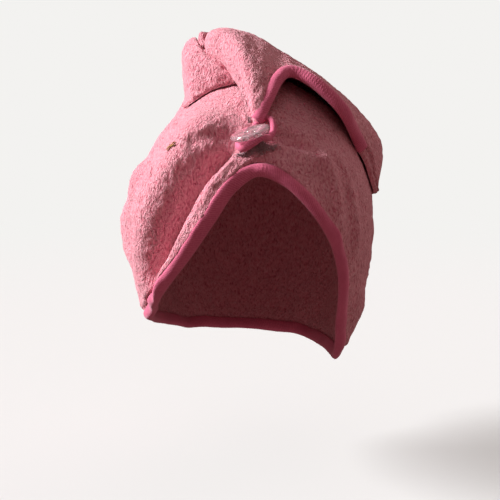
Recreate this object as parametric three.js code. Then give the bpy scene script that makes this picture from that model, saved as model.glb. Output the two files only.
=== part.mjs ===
import * as THREE from 'three';

// Hair turban towel, in millimetres, +Z up, with the face towards -Y.
// The origin is the top of the head hollow, where the hood sits on the crown of a head.

// Cloth and clearances
const cloth = 3;
const bindingCloth = 1.2;
const seatGap = 0.5;
const drapeGap = 0.5;

// The hollow that holds the head: its reach from a middle point that lies straight below the origin
const hollow = { left: 86, right: 80.5, front: 87, back: 101, up: 95, down: 127, squareness: 2 };
const hollowMiddle = new THREE.Vector3(0, 0, -hollow.up);

// Mesh fineness
const hoodColumns = 76;
const hoodRows = 14;

// Sizes of the trim
const bindingWidth = 8;
const bindingInside = 6;
const flapRise = 0.4;
const slitEndLean = 53;
const buttonDiameter = 26;
const buttonThickness = 3.6;
const buttonEdge = 0.9;
const buttonHoleDiameter = 2.4;
const buttonHoleSpread = 7;
const buttonTilt = 9;
const buttonLean = 17;
const buttonStand = 12.5;
const threadDiameter = 4;
const loopDiameter = 4;

// Where the button's middle stands and the loop's route round its thread, in degrees of climb and lean.
// The loop's lifts over the hood are shares of buttonStand.
const buttonSeat = { climb: 37.5, lean: -1.8 };
const loopPath = [
  { lean: 5.6, climb: 49.5, lift: 0.52 }, { lean: 6.8, climb: 46.8, lift: 0.52 },
  { lean: 7.2, climb: 43.4, lift: 0.52 }, { lean: 5.8, climb: 40.4, lift: 0.48 },
  { lean: 2.2, climb: 36.6, lift: 0.44 }, { lean: -2.4, climb: 33.4, lift: 0.4 },
  { lean: -7.4, climb: 35, lift: 0.36 }, { lean: -9.2, climb: 39, lift: 0.36 },
  { lean: -8.4, climb: 42.8, lift: 0.36 }, { lean: -5.6, climb: 45.8, lift: 0.4 },
];

// Sizes of the folds and of the tail over the hood
const rollHeight = 6;
const creaseDepth = 4.5;
const foldWidth = 20;
const tailHeight = 38;
const tailTwist = 5;

// Shape of the tail's arch before and behind its crest, and the twist's turns per degree of climb and lean
const archBefore = 1.7;
const archBehind = 2.2;
const twistClimb = 4;
const twistLean = 5;

const terryPink = 0xe08aa0;
const bindingPink = 0xd8608c;
const threadPink = 0xe07898;
const clearPink = 0xf2dfe4;

// The hood's edge, as the turn from the face and the drop from the crown, both in degrees
const hem = [
  { turn: 1, drop: 64.8 }, { turn: 12, drop: 68.5 }, { turn: 25, drop: 81 }, { turn: 35, drop: 95 },
  { turn: 42, drop: 109 }, { turn: 47, drop: 123 }, { turn: 53, drop: 138 }, { turn: 65, drop: 150 },
  { turn: 84, drop: 153.5 }, { turn: 110, drop: 152 }, { turn: 145, drop: 148.5 }, { turn: 180, drop: 146 },
  { turn: 215, drop: 144.5 }, { turn: 245, drop: 142 }, { turn: 266, drop: 138 }, { turn: 282, drop: 133.5 },
  { turn: 294, drop: 129.5 }, { turn: 305, drop: 123.5 }, { turn: 318, drop: 113.5 }, { turn: 331, drop: 100 },
  { turn: 342, drop: 85 }, { turn: 351.5, drop: 71 },
];

// The hood's rolls and creases. Height is a share of rollHeight where it stands out and of creaseDepth
// where it sinks in, and width, from the middle of the fold to its foot, is a share of foldWidth.
// The path's points are a turn and a drop.
const folds = [
  { name: 'roll beside the binding', height: 0.55, width: 0.8,
    path: [[357, 56], [347, 66], [339, 76], [330, 89], [319, 103], [310, 114]] },
  { name: 'broad valley on the left', height: -1, width: 0.9,
    path: [[350, 50], [337, 63], [326, 79], [315, 96], [306, 112]] },
  { name: 'front roll on the left', height: 0.7, width: 1.2,
    path: [[322, 47], [308, 60], [301, 78], [296, 98], [293, 122]] },
  { name: 'tuck behind the front roll', height: -0.7, width: 0.6,
    path: [[300, 60], [289, 80], [286, 102], [285, 118]] },
  { name: 'back roll on the left', height: 1.1, width: 1.7,
    path: [[286, 72], [274, 86], [272, 100]] },
  { name: 'roll over the forehead on the right', height: 0.45, width: 0.75,
    path: [[5, 54], [18, 56], [30, 61], [42, 74]] },
  { name: 'hollow above that roll', height: -0.6, width: 0.75,
    path: [[8, 45], [22, 48], [34, 54]] },
  { name: 'crease on the right', height: -0.5, width: 0.65,
    path: [[38, 57], [43, 68], [46, 80], [48, 98]] },
];

// The tail's three lapped stretches, each as rows across it. Lean is how far a row stands to the right, and
// front, crest and rear are how far it climbs from the face over the crown, all in degrees. The lifts over
// the hood are shares of tailHeight.
const tailFront = [
  { lean: -17.2, front: 89, crest: 92, rear: 100, frontLift: 0.2, crestLift: 0.3, rearLift: 0.2 },
  { lean: -16, front: 87.5, crest: 92, rear: 101, frontLift: 0.54, crestLift: 0.7, rearLift: 0.52 },
  { lean: -13.5, front: 86, crest: 92, rear: 102, frontLift: 0.46, crestLift: 0.84, rearLift: 0.56 },
  { lean: -9, front: 84.5, crest: 92, rear: 103.5, frontLift: 0.23, crestLift: 0.88, rearLift: 0.56 },
  { lean: -5.2, front: 76.5, crest: 92, rear: 106, frontLift: 0, crestLift: 0.85, rearLift: 0.52 },
  { lean: -3.2, front: 65, crest: 92, rear: 108, frontLift: 0, crestLift: 0.81, rearLift: 0.5 },
  { lean: -1.7, front: 47, crest: 91, rear: 110, frontLift: 0, crestLift: 0.76, rearLift: 0.5 },
  { lean: 0.1, front: 50.5, crest: 90, rear: 112, frontLift: 0.06, crestLift: 0.68, rearLift: 0.5 },
  { lean: 1.9, front: 55.7, crest: 89, rear: 114, frontLift: 0.16, crestLift: 0.6, rearLift: 0.48 },
  { lean: 3.6, front: 62.3, crest: 88, rear: 116, frontLift: 0.24, crestLift: 0.54, rearLift: 0.45 },
  { lean: 6.6, front: 66.5, crest: 87, rear: 119, frontLift: 0.29, crestLift: 0.45, rearLift: 0.4 },
  { lean: 9.9, front: 68.3, crest: 87, rear: 122, frontLift: 0.32, crestLift: 0.39, rearLift: 0.35 },
  { lean: 14.1, front: 67.4, crest: 87, rear: 126, frontLift: 0.32, crestLift: 0.34, rearLift: 0.28 },
  { lean: 19.5, front: 65.2, crest: 87, rear: 131, frontLift: 0.32, crestLift: 0.3, rearLift: 0.2 },
  { lean: 25.9, front: 62.4, crest: 87, rear: 136, frontLift: 0.29, crestLift: 0.27, rearLift: 0.14 },
  { lean: 31.8, front: 60.7, crest: 88, rear: 141, frontLift: 0.24, crestLift: 0.24, rearLift: 0.08 },
  { lean: 38.4, front: 60.3, crest: 90, rear: 146, frontLift: 0.16, crestLift: 0.25, rearLift: 0.03 },
  { lean: 45.9, front: 63.7, crest: 92, rear: 151, frontLift: 0.05, crestLift: 0.31, rearLift: 0.01 },
  { lean: 52, front: 64, crest: 93, rear: 155, frontLift: 0.01, crestLift: 0.36, rearLift: 0 },
  { lean: 58, front: 64, crest: 94, rear: 158, frontLift: 0.02, crestLift: 0.38, rearLift: 0.01 },
  { lean: 63, front: 61, crest: 95, rear: 155, frontLift: 0.01, crestLift: 0.33, rearLift: 0.01 },
  { lean: 68, front: 58, crest: 96, rear: 148, frontLift: 0, crestLift: 0.22, rearLift: 0 },
  { lean: 73, front: 59, crest: 97, rear: 136, frontLift: 0, crestLift: 0.11, rearLift: 0 },
  { lean: 77, front: 68, crest: 96, rear: 119, frontLift: 0, crestLift: 0.04, rearLift: 0 },
  { lean: 79, front: 84, crest: 95, rear: 106, frontLift: 0, crestLift: 0, rearLift: 0 },
];
const tailFold = [
  { lean: -32.5, front: 77, crest: 96, rear: 114, frontLift: 0, crestLift: 0, rearLift: 0 },
  { lean: -30.2, front: 75.5, crest: 96, rear: 115, frontLift: 0, crestLift: 0.08, rearLift: 0.01 },
  { lean: -26.8, front: 74.5, crest: 97, rear: 116, frontLift: 0, crestLift: 0.48, rearLift: 0.2 },
  { lean: -24.2, front: 74, crest: 97, rear: 116, frontLift: 0, crestLift: 0.78, rearLift: 0.35 },
  { lean: -22.5, front: 74, crest: 97, rear: 116, frontLift: 0, crestLift: 0.88, rearLift: 0.4 },
  { lean: -20, front: 74, crest: 97, rear: 116, frontLift: 0, crestLift: 0.92, rearLift: 0.5 },
  { lean: -18.8, front: 74, crest: 96, rear: 114, frontLift: 0, crestLift: 0.86, rearLift: 0.5 },
  { lean: -18.2, front: 74, crest: 94, rear: 102, frontLift: 0, crestLift: 0.8, rearLift: 0.6 },
  { lean: -16.5, front: 74, crest: 84, rear: 86, frontLift: 0, crestLift: 0.52, rearLift: 0.5 },
  { lean: -13.5, front: 74, crest: 83, rear: 84.8, frontLift: 0, crestLift: 0.4, rearLift: 0.38 },
  { lean: -9, front: 74, crest: 81, rear: 83.2, frontLift: 0, crestLift: 0.18, rearLift: 0.16 },
  { lean: -6.6, front: 74, crest: 76.5, rear: 79, frontLift: 0, crestLift: 0, rearLift: 0 },
];
const tailBack = [
  { lean: -42, front: 134, crest: 143, rear: 158, frontLift: 0, crestLift: 0, rearLift: 0 },
  { lean: -37, front: 124, crest: 140, rear: 178, frontLift: 0, crestLift: 0.2, rearLift: 0 },
  { lean: -31, front: 118, crest: 138, rear: 194, frontLift: 0.06, crestLift: 0.42, rearLift: 0 },
  { lean: -24, front: 117.5, crest: 136, rear: 206, frontLift: 0.35, crestLift: 0.62, rearLift: 0 },
  { lean: -20, front: 117.5, crest: 134, rear: 211, frontLift: 0.45, crestLift: 0.7, rearLift: 0 },
  { lean: -18.4, front: 115.5, crest: 132, rear: 213, frontLift: 0.5, crestLift: 0.73, rearLift: 0 },
  { lean: -17.6, front: 103.5, crest: 130, rear: 214, frontLift: 0.5, crestLift: 0.74, rearLift: 0 },
  { lean: -13.5, front: 103.5, crest: 128, rear: 218, frontLift: 0.52, crestLift: 0.78, rearLift: 0 },
  { lean: -9, front: 104.8, crest: 128, rear: 221, frontLift: 0.52, crestLift: 0.8, rearLift: 0 },
  { lean: -1.7, front: 111.2, crest: 130, rear: 223, frontLift: 0.46, crestLift: 0.78, rearLift: 0.01 },
  { lean: 6.6, front: 120.2, crest: 134, rear: 222, frontLift: 0.38, crestLift: 0.7, rearLift: 0.01 },
  { lean: 14.1, front: 127.2, crest: 140, rear: 218, frontLift: 0.26, crestLift: 0.6, rearLift: 0 },
  { lean: 22, front: 134.2, crest: 146, rear: 211, frontLift: 0.14, crestLift: 0.48, rearLift: 0 },
  { lean: 31.8, front: 142.2, crest: 152, rear: 198, frontLift: 0.04, crestLift: 0.28, rearLift: 0 },
  { lean: 38.4, front: 147.2, crest: 155, rear: 184, frontLift: 0, crestLift: 0.1, rearLift: 0 },
  { lean: 43.5, front: 151, crest: 157, rear: 168, frontLift: 0, crestLift: 0, rearLift: 0 },
];

const radians = THREE.MathUtils.degToRad;

function blend(low, high, x) {
  return THREE.MathUtils.smoothstep(x, low, high);
}

// Reads a column of a table, which is sorted by its key column, with a smooth curve between rows
function lookUp(table, key, column, x) {
  const last = table.length - 1;
  if (x <= table[0][key]) return table[0][column];
  if (x >= table[last][key]) return table[last][column];
  let i = 0;
  while (table[i + 1][key] < x) i += 1;
  const low = table[i];
  const high = table[i + 1];
  const step = high[key] - low[key];
  const slope = (a, b) => (table[b][column] - table[a][column]) / (table[b][key] - table[a][key]);
  const slopeLow = i > 0 ? slope(i - 1, i + 1) : slope(i, i + 1);
  const slopeHigh = i + 1 < last ? slope(i, i + 2) : slope(i, i + 1);
  const u = (x - low[key]) / step;
  const startShare = (1 + 2 * u) * (1 - u) ** 2;
  const endShare = u * u * (3 - 2 * u);
  const bend = step * (u * (1 - u) ** 2 * slopeLow - u * u * (1 - u) * slopeHigh);
  return low[column] * startShare + high[column] * endShare + bend;
}

// A unit vector at a turn from the face and a drop from the crown
function towards(turn, drop) {
  const t = radians(turn);
  const d = radians(drop);
  return new THREE.Vector3(Math.sin(t) * Math.sin(d), -Math.cos(t) * Math.sin(d), Math.cos(d));
}

// A unit vector at a climb from the face over the crown and a lean to the right
function over(climb, lean) {
  const c = radians(climb);
  const l = radians(lean);
  return new THREE.Vector3(Math.sin(l), -Math.cos(l) * Math.cos(c), Math.cos(l) * Math.sin(c));
}

function hollowReach(way) {
  const n = hollow.squareness;
  const across = Math.abs(way.x) / (way.x < 0 ? hollow.left : hollow.right);
  const along = Math.abs(way.y) / (way.y < 0 ? hollow.front : hollow.back);
  const upright = Math.abs(way.z) / (way.z < 0 ? hollow.down : hollow.up);
  return (across ** n + along ** n + upright ** n) ** (-1 / n);
}

const foldPaths = folds.map((fold) => fold.path.map(([turn, drop]) => towards(turn, drop)));

function foldLift(way) {
  let lift = 0;
  const segment = new THREE.Line3();
  const foot = new THREE.Vector3();
  folds.forEach((fold, f) => {
    const points = foldPaths[f];
    let nearest = Infinity;
    let place = 0;
    for (let i = 0; i + 1 < points.length; i += 1) {
      segment.set(points[i], points[i + 1]);
      const share = segment.closestPointToPointParameter(way, true);
      segment.at(share, foot);
      const distance = foot.distanceTo(way);
      if (distance < nearest) {
        nearest = distance;
        place = (i + share) / (points.length - 1);
      }
    }
    const across = (nearest * hollow.up) / (fold.width * foldWidth);
    if (across >= 1) return;
    const size = fold.height > 0 ? rollHeight : creaseDepth;
    const taper = blend(-0.25, 0.25, place) * (1 - blend(0.8, 1.2, place));
    lift += fold.height * size * taper * (1 - across * across) ** 2;
  });
  return lift;
}

function hoodInside(way) {
  return hollowReach(way) + foldLift(way);
}

function hoodOutside(way) {
  return hoodInside(way) + cloth;
}

function place(way, reach) {
  return hollowMiddle.clone().addScaledVector(way, reach);
}

function standard(color, roughness, extra = {}) {
  return new THREE.MeshStandardMaterial({ color, roughness, metalness: 0, ...extra });
}

// Flat list of points and a list of faces, as one closed mesh
function meshOf(name, points, faces, material) {
  const geometry = new THREE.BufferGeometry();
  geometry.setAttribute('position', new THREE.Float32BufferAttribute(points.flatMap((p) => p.toArray()), 3));
  geometry.setIndex(faces.flat());
  geometry.computeVertexNormals();
  const mesh = new THREE.Mesh(geometry, material);
  mesh.name = name;
  return mesh;
}

// A thick sheet between two grids of points with the same rows and columns, closed along its four edges
function sheetMesh(name, outer, inner, material) {
  const rows = outer.length;
  const columns = outer[0].length;
  const points = [...outer.flat(), ...inner.flat()];
  const behind = rows * columns;
  const at = (i, j) => i * columns + j;
  const faces = [];
  const quad = (a, b, c, d) => faces.push([a, b, c], [a, c, d]);
  for (let i = 0; i + 1 < rows; i += 1) {
    for (let j = 0; j + 1 < columns; j += 1) {
      quad(at(i, j), at(i, j + 1), at(i + 1, j + 1), at(i + 1, j));
      quad(behind + at(i, j), behind + at(i + 1, j), behind + at(i + 1, j + 1), behind + at(i, j + 1));
    }
  }
  for (let j = 0; j + 1 < columns; j += 1) {
    quad(at(0, j), behind + at(0, j), behind + at(0, j + 1), at(0, j + 1));
    quad(at(rows - 1, j), at(rows - 1, j + 1), behind + at(rows - 1, j + 1), behind + at(rows - 1, j));
  }
  for (let i = 0; i + 1 < rows; i += 1) {
    quad(at(i, 0), at(i + 1, 0), behind + at(i + 1, 0), behind + at(i, 0));
    quad(at(i, columns - 1), behind + at(i, columns - 1), behind + at(i + 1, columns - 1), at(i + 1, columns - 1));
  }
  return meshOf(name, points, faces, material);
}

// A tube through sections that all have the same number of corners, closed on itself or capped
function sectionMesh(name, sections, closed, material) {
  const corners = sections[0].length;
  const points = sections.flat();
  const faces = [];
  const spans = closed ? sections.length : sections.length - 1;
  for (let i = 0; i < spans; i += 1) {
    const here = i * corners;
    const next = ((i + 1) % sections.length) * corners;
    for (let j = 0; j < corners; j += 1) {
      const k = (j + 1) % corners;
      faces.push([here + j, next + k, next + j], [here + j, here + k, next + k]);
    }
  }
  if (!closed) {
    const end = (sections.length - 1) * corners;
    for (let j = 1; j + 1 < corners; j += 1) {
      faces.push([0, j + 1, j], [end, end + j, end + j + 1]);
    }
  }
  return meshOf(name, points, faces, material);
}

// Ways from the middle of the hollow to equally spaced points of the hood's edge
function hemWays() {
  const rim = new THREE.CatmullRomCurve3(hem.map((row) => towards(row.turn, row.drop)), true, 'centripetal');
  rim.arcLengthDivisions = 1200;
  return rim.getSpacedPoints(hoodColumns).slice(0, hoodColumns).map((point) => point.normalize());
}

function hoodMesh() {
  const rim = hemWays();
  const crown = new THREE.Vector3(0, 0, 1);
  const points = [];
  const faces = [];
  const layer = 1 + hoodRows * hoodColumns;
  for (const reach of [hoodOutside, hoodInside]) {
    points.push(place(crown, reach(crown)));
    for (let i = 1; i <= hoodRows; i += 1) {
      for (const end of rim) {
        const angle = crown.angleTo(end) * (i / hoodRows);
        const side = end.clone().addScaledVector(crown, -crown.dot(end)).normalize();
        const way = crown.clone().multiplyScalar(Math.cos(angle)).addScaledVector(side, Math.sin(angle));
        points.push(place(way, reach(way)));
      }
    }
  }
  const at = (i, j) => 1 + (i - 1) * hoodColumns + (j % hoodColumns);
  for (let j = 0; j < hoodColumns; j += 1) {
    faces.push([0, at(1, j), at(1, j + 1)], [layer, layer + at(1, j + 1), layer + at(1, j)]);
    for (let i = 1; i < hoodRows; i += 1) {
      const ring = [at(i, j), at(i + 1, j), at(i + 1, j + 1), at(i, j + 1)];
      faces.push([ring[0], ring[1], ring[2]], [ring[0], ring[2], ring[3]]);
      faces.push([layer + ring[0], layer + ring[2], layer + ring[1]]);
      faces.push([layer + ring[0], layer + ring[3], layer + ring[2]]);
    }
    const here = at(hoodRows, j);
    const next = at(hoodRows, j + 1);
    faces.push([here, layer + here, layer + next], [here, layer + next, next]);
  }
  return meshOf('hood', points, faces, standard(terryPink, 0.95));
}

// The lift over the hood between a row's front, crest and rear, as a share of tailHeight
function tailLift(row, climb) {
  if (climb < row.crest) {
    const v = (row.crest - climb) / (row.crest - row.front);
    return row.crestLift - (row.crestLift - row.frontLift) * v ** archBefore;
  }
  const w = Math.min(1, (climb - row.crest) / (row.rear - row.crest));
  return row.rearLift + (row.crestLift - row.rearLift) * Math.sqrt(1 - w ** archBehind);
}

function rowAt(table, lean) {
  const row = { lean };
  for (const column of ['front', 'crest', 'rear', 'frontLift', 'crestLift', 'rearLift']) {
    row[column] = lookUp(table, 'lean', column, lean);
  }
  return row;
}

// Unit normals of a grid of points, facing away from the middle of the hollow
function gridNormals(grid) {
  const rows = grid.length;
  const columns = grid[0].length;
  return grid.map((line, i) => line.map((point, j) => {
    const along = grid[Math.min(i + 1, rows - 1)][j].clone().sub(grid[Math.max(i - 1, 0)][j]);
    const across = line[Math.min(j + 1, columns - 1)].clone().sub(line[Math.max(j - 1, 0)]);
    const normal = along.cross(across).normalize();
    const outward = point.clone().sub(hollowMiddle);
    return normal.dot(outward) < 0 ? normal.negate() : normal;
  }));
}

// One stretch of the tail: a sheet that lies over the hood with a hollow under it
function tailSheet(name, table, columns, steps, twist) {
  const first = table[0].lean;
  const last = table[table.length - 1].lean;
  const leans = [];
  for (let i = 0; i + 1 < table.length; i += 1) {
    const span = table[i + 1].lean - table[i].lean;
    const pieces = Math.max(1, Math.round((span * columns) / (last - first)));
    for (let k = 0; k < pieces; k += 1) leans.push(table[i].lean + (span * k) / pieces);
  }
  leans.push(last);
  const outer = [];
  for (let i = 0; i <= steps; i += 1) {
    outer.push(leans.map((lean) => {
      const row = rowAt(table, lean);
      const climb = row.front + ((row.rear - row.front) * i) / steps;
      const way = over(climb, lean);
      const lift = tailHeight * Math.max(0, tailLift(row, climb));
      const turns = Math.sin(radians(climb * twistClimb - lean * twistLean));
      const wind = twist * turns * Math.min(1, lift / tailHeight);
      return place(way, hoodOutside(way) + drapeGap + cloth + lift + wind);
    }));
  }
  const normals = gridNormals(outer);
  const inner = outer.map((line, i) => line.map((point, j) => {
    const under = point.clone().addScaledVector(normals[i][j], -cloth).sub(hollowMiddle);
    const way = under.clone().normalize();
    return place(way, Math.max(under.length(), hoodOutside(way) + drapeGap));
  }));
  return { name, leans, outer, inner, normals };
}

// A strip of binding folded over an edge. Each station gives the edge's outer and inner points, the way
// out past the edge, and a function that lays a point on the cloth's outer or inner face.
function bindingMesh(name, stations, closed, material) {
  const sections = stations.map(({ edge, out, lay }) => {
    const back = (distance) => edge.clone().addScaledVector(out, -distance);
    const past = (distance, rise) => lay(edge, rise).addScaledVector(out, distance);
    const close = seatGap;
    const far = seatGap + bindingCloth;
    return [
      lay(back(bindingWidth), close + flapRise),
      lay(back(bindingWidth), far + flapRise),
      lay(back(bindingWidth / 2), far + flapRise),
      past(0, far),
      past(far * 0.8, 0),
      past(far * 0.8, -cloth),
      past(0, -cloth - far),
      lay(back(bindingInside), -cloth - far - flapRise),
      lay(back(bindingInside), -cloth - close - flapRise),
      past(0, -cloth - close),
      past(close, -cloth / 2),
      past(0, close),
    ];
  });
  return sectionMesh(name, sections, closed, material);
}

function layOnHood(point, rise) {
  const way = point.clone().sub(hollowMiddle).normalize();
  return place(way, hoodOutside(way) + rise);
}

function hoodBinding() {
  const rim = hemWays();
  const edges = rim.map((way) => place(way, hoodOutside(way)));
  const stations = edges.map((edge, i) => {
    const before = edges[(i + edges.length - 1) % edges.length];
    const after = edges[(i + 1) % edges.length];
    const along = after.clone().sub(before).normalize();
    const outward = edge.clone().sub(hollowMiddle).normalize();
    const out = along.clone().cross(outward).normalize();
    return { edge, out, lay: layOnHood };
  });
  return bindingMesh('hood_binding', stations, true, standard(bindingPink, 0.85));
}

// Keeps a point off the hood's outer face
function offHood(point, rise) {
  const way = point.clone().sub(hollowMiddle);
  const reach = way.length();
  way.normalize();
  return place(way, Math.max(reach, hoodOutside(way) + rise));
}

// The strip along the slit's edge, from the tail's tip over the arch to the drape on the right
function tailBinding(sheet) {
  const chosen = sheet.leans.map((lean, j) => j).filter((j) => sheet.leans[j] > -2 && sheet.leans[j] < slitEndLean);
  const half = cloth / 2 + bindingCloth;
  const sections = chosen.map((j, k) => {
    const top = sheet.outer[0][j];
    const middle = top.clone().lerp(sheet.inner[0][j], 0.5);
    const before = sheet.outer[0][chosen[Math.max(k - 1, 0)]];
    const after = sheet.outer[0][chosen[Math.min(k + 1, chosen.length - 1)]];
    const normal = sheet.normals[0][j];
    const out = after.clone().sub(before).cross(normal).normalize();
    const profile = [
      [0, half * 0.8], [0.35, half], [0.75, half * 0.95], [0.97, half * 0.5],
      [0.97, -half * 0.5], [0.75, -half * 0.95], [0.35, -half], [0, -half * 0.8],
    ];
    return profile.map(([past, rise]) => {
      const point = middle.clone().addScaledVector(out, seatGap + past * bindingWidth);
      return offHood(point.addScaledVector(normal, rise), drapeGap);
    });
  });
  return sectionMesh('tail_binding', sections, false, standard(bindingPink, 0.85));
}

function buttonPlace() {
  const way = over(buttonSeat.climb, buttonSeat.lean);
  return { way, middle: place(way, hoodOutside(way) + buttonStand) };
}

function buttonMesh() {
  const outline = new THREE.Shape();
  outline.absarc(0, 0, buttonDiameter / 2 - buttonEdge, 0, Math.PI * 2, false);
  for (let i = 0; i < 4; i += 1) {
    const angle = Math.PI / 4 + (Math.PI / 2) * i;
    const hole = new THREE.Path();
    const x = Math.cos(angle) * buttonHoleSpread * 0.5;
    const y = Math.sin(angle) * buttonHoleSpread * 0.5;
    hole.absarc(x, y, buttonHoleDiameter / 2, 0, Math.PI * 2, true);
    outline.holes.push(hole);
  }
  const body = new THREE.ExtrudeGeometry(outline, {
    depth: buttonThickness - 2 * buttonEdge,
    bevelEnabled: true,
    bevelThickness: buttonEdge,
    bevelSize: buttonEdge,
    bevelSegments: 1,
    curveSegments: 10,
  });
  body.translate(0, 0, buttonEdge - buttonThickness / 2);
  const mesh = new THREE.Mesh(body, standard(clearPink, 0.08, { transparent: true, opacity: 0.4 }));
  mesh.name = 'button';
  mesh.position.copy(buttonPlace().middle);
  mesh.rotation.set(radians(buttonTilt), radians(-buttonLean), 0);
  return mesh;
}

function threadMesh() {
  const { way, middle } = buttonPlace();
  const low = hoodOutside(way) + seatGap;
  const high = middle.distanceTo(hollowMiddle) - buttonThickness / 2 - threadDiameter / 2 - 2 * seatGap;
  const mesh = new THREE.Mesh(
    new THREE.CylinderGeometry(threadDiameter / 2, threadDiameter / 2, high - low, 10),
    standard(threadPink, 0.9),
  );
  mesh.name = 'button_thread';
  mesh.position.copy(place(way, (low + high) / 2));
  mesh.quaternion.setFromUnitVectors(new THREE.Vector3(0, 1, 0), way);
  return mesh;
}

function loopMesh() {
  const points = loopPath.map(({ lean, climb, lift }) => {
    const way = over(climb, lean);
    return place(way, hoodOutside(way) + lift * buttonStand);
  });
  const round = new THREE.Shape();
  round.absarc(0, 0, loopDiameter / 2, 0, Math.PI * 2, false);
  const geometry = new THREE.ExtrudeGeometry(round, {
    steps: 30,
    curveSegments: 4,
    extrudePath: new THREE.CatmullRomCurve3(points),
  });
  const mesh = new THREE.Mesh(geometry, standard(bindingPink, 0.85));
  mesh.name = 'loop';
  return mesh;
}

const group = new THREE.Group();
group.add(hoodMesh());
group.add(hoodBinding());
const front = tailSheet('tail_front', tailFront, 24, 14, 0);
const fold = tailSheet('tail_fold', tailFold, 12, 10, 0);
const back = tailSheet('tail_back', tailBack, 20, 18, tailTwist);
for (const sheet of [front, fold, back]) {
  group.add(sheetMesh(sheet.name, sheet.outer, sheet.inner, standard(terryPink, 0.95)));
}
group.add(tailBinding(front), buttonMesh(), threadMesh(), loopMesh());

export default group;
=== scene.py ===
"""Hair turban towel: its looks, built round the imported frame.

Tables are in millimetres and degrees, in the part's own frame: +Z up, the face towards -Y, and the origin
at the top of the head hollow. Meshes are turned into metres when they are made.
"""
import math

import bpy
import numpy as np
from mathutils import Matrix, Vector


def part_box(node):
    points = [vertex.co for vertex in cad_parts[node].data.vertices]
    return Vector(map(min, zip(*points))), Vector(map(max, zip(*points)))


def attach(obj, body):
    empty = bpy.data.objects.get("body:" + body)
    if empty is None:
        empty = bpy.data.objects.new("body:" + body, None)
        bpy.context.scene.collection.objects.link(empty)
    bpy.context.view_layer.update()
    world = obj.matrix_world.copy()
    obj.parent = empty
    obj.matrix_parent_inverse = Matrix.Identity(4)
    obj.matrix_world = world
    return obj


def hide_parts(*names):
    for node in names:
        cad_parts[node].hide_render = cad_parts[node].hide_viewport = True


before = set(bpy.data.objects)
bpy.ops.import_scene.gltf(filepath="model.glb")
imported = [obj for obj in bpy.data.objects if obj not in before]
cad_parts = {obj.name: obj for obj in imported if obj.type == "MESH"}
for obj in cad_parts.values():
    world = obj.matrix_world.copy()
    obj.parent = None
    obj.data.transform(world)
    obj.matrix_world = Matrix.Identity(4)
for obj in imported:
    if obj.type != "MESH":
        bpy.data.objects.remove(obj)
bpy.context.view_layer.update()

MM = 0.001

# The head hollow and the cloth
HOLLOW = {"left": 86.0, "right": 80.5, "front": 87.0, "back": 101.0, "up": 95.0, "down": 127.0}
MIDDLE = np.array([0.0, 0.0, -HOLLOW["up"]])
CROWN = np.array([0.0, 0.0, 1.0])
CLOTH = 3.0
DRAPE_GAP = 0.6
TAIL_HEIGHT = 38.0
PILE_DEPTH = 0.55

# The stitched line beside a strip: the height, place and spread of the puffed terry and of the groove, and
# where the pile begins and is full, as distances from the cloth's edge
PUFF = 0.9
PUFF_PLACE = 11.4
PUFF_SPREAD = 3.2
GROOVE = 1.4
GROOVE_PLACE = 7.5
GROOVE_SPREAD = 1.2
PILE_STARTS = (5.6, 8.0)

# Fineness of the meshes
HOOD_COLUMNS = 500
HOOD_ROWS = 150
LINING_ROWS = 20
HEM_STATIONS = 900
SLIT_STATIONS = 1200
SLIT_BENDS = 40
STRIP_STATIONS = 420
LOOP_STATIONS = 160
THREAD_STATIONS = 200
BUTTON_SIDES = 72
HOLE_SIDES = 20
EVENING_ROUNDS = 4

# The hood's edge, as the turn from the face and the drop from the crown
HEM = [
    (1, 64.8), (12, 68.5), (25, 81), (35, 95), (42, 109), (47, 123), (53, 136), (64, 146.5), (84, 151),
    (110, 152), (145, 148.5), (180, 146), (215, 144.5), (245, 142), (266, 138), (282, 133.5), (294, 129.5),
    (305, 123.5), (318, 113.5), (331, 100), (342, 85), (351.5, 71),
]

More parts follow.
